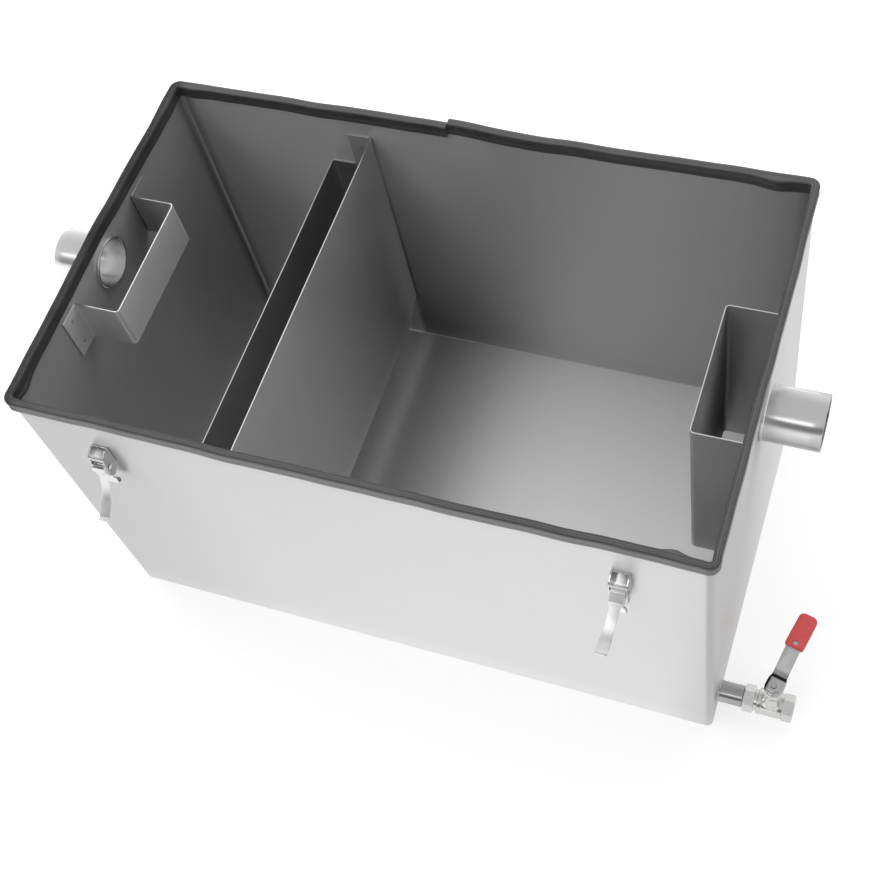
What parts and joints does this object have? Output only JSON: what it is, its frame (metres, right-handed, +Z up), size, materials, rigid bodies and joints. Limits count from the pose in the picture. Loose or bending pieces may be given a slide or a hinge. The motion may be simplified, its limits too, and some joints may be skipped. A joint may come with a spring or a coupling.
{
  "type": "grease trap",
  "caption": "Open stainless steel grease trap: a box tank with baffle plates, deflector boxes on its pipe stubs, a rubber rim trim, lid latches and a lever drain valve.",
  "frame": {"origin": "middle of the tank's flat underside", "axes": "+X from the inlet to the outlet, +Y to the back wall, +Z up to the open rim"},
  "size_m": [0.7149, 0.4654, 0.361],
  "materials": {
    "stainless_steel": "satin stainless sheet and tube",
    "plated_steel": "bright plated steel",
    "nickelled_brass": "nickel-plated brass, satin",
    "black_rubber": "matt black rubber",
    "red_vinyl": "dipped red vinyl",
    "white_seal": "white seal plastic"
  },
  "bodies": {
    "trap": {"tank_walls": "stainless_steel", "tank_floor": "stainless_steel", "weir_plate": "stainless_steel", "underflow_plate": "stainless_steel", "inlet_box": "stainless_steel", "outlet_box": "stainless_steel", "inlet_pipe": "stainless_steel", "outlet_pipe": "stainless_steel", "rim_gasket": "black_rubber", "drain_socket": "stainless_steel", "valve_end_cap": "nickelled_brass", "valve_body": "nickelled_brass", "valve_seat_inlet": "white_seal", "valve_seat_outlet": "white_seal", "packing_nut": "nickelled_brass", "latch_front_left_base": "plated_steel", "latch_front_left_pin": "plated_steel", "latch_front_right_base": "plated_steel", "latch_front_right_pin": "plated_steel", "latch_back_left_base": "plated_steel", "latch_back_left_pin": "plated_steel", "latch_back_right_base": "plated_steel", "latch_back_right_pin": "plated_steel"},
    "valve_handle": {"valve_ball": "plated_steel", "valve_stem": "plated_steel", "valve_lever": "plated_steel", "lever_nut": "plated_steel", "lever_sleeve": "red_vinyl"},
    "latch_front_left_arm": {"latch_front_left_lever": "plated_steel", "latch_front_left_claw_pin": "plated_steel"},
    "latch_front_left_hook": {"latch_front_left_claw": "plated_steel"},
    "latch_front_right_arm": {"latch_front_right_lever": "plated_steel", "latch_front_right_claw_pin": "plated_steel"},
    "latch_front_right_hook": {"latch_front_right_claw": "plated_steel"},
    "latch_back_left_arm": {"latch_back_left_lever": "plated_steel", "latch_back_left_claw_pin": "plated_steel"},
    "latch_back_left_hook": {"latch_back_left_claw": "plated_steel"},
    "latch_back_right_arm": {"latch_back_right_lever": "plated_steel", "latch_back_right_claw_pin": "plated_steel"},
    "latch_back_right_hook": {"latch_back_right_claw": "plated_steel"}
  },
  "joints": [
    {"name": "valve_turn", "type": "hinge", "parent": "trap", "child": "valve_handle", "pos_m": [0.3486, -0.151, 0.025], "axis": [0, 0, -1], "range_deg": [-13.4, 76.6]},
    {"name": "latch_front_left_swing", "type": "hinge", "parent": "trap", "child": "latch_front_left_arm", "pos_m": [-0.229, -0.1885, 0.294], "axis": [-1, 0, 0], "range_deg": [-22, 98]},
    {"name": "latch_front_left_claw_turn", "type": "hinge", "parent": "latch_front_left_arm", "child": "latch_front_left_hook", "pos_m": [-0.229, -0.18986, 0.28635], "axis": [-1, 0, 0], "range_deg": [-98, 22]},
    {"name": "latch_front_right_swing", "type": "hinge", "parent": "trap", "child": "latch_front_right_arm", "pos_m": [0.229, -0.1885, 0.294], "axis": [-1, 0, 0], "range_deg": [-76, 44]},
    {"name": "latch_front_right_claw_turn", "type": "hinge", "parent": "latch_front_right_arm", "child": "latch_front_right_hook", "pos_m": [0.229, -0.19549, 0.29061], "axis": [-1, 0, 0], "range_deg": [-44, 76]},
    {"name": "latch_back_left_swing", "type": "hinge", "parent": "trap", "child": "latch_back_left_arm", "pos_m": [-0.229, 0.1885, 0.294], "axis": [1, 0, 0], "range_deg": [-20, 100]},
    {"name": "latch_back_left_claw_turn", "type": "hinge", "parent": "latch_back_left_arm", "child": "latch_back_left_hook", "pos_m": [-0.229, 0.1896, 0.28631], "axis": [1, 0, 0], "range_deg": [-100, 20]},
    {"name": "latch_back_right_swing", "type": "hinge", "parent": "trap", "child": "latch_back_right_arm", "pos_m": [0.229, 0.1885, 0.294], "axis": [1, 0, 0], "range_deg": [-20, 100]},
    {"name": "latch_back_right_claw_turn", "type": "hinge", "parent": "latch_back_right_arm", "child": "latch_back_right_hook", "pos_m": [0.229, 0.1896, 0.28631], "axis": [1, 0, 0], "range_deg": [-100, 20]}
  ],
  "couplings": [
    {"joint": "latch_front_left_claw_turn", "follows": "latch_front_left_swing", "ratio": -1},
    {"joint": "latch_front_right_claw_turn", "follows": "latch_front_right_swing", "ratio": -1},
    {"joint": "latch_back_left_claw_turn", "follows": "latch_back_left_swing", "ratio": -1},
    {"joint": "latch_back_right_claw_turn", "follows": "latch_back_right_swing", "ratio": -1}
  ]
}
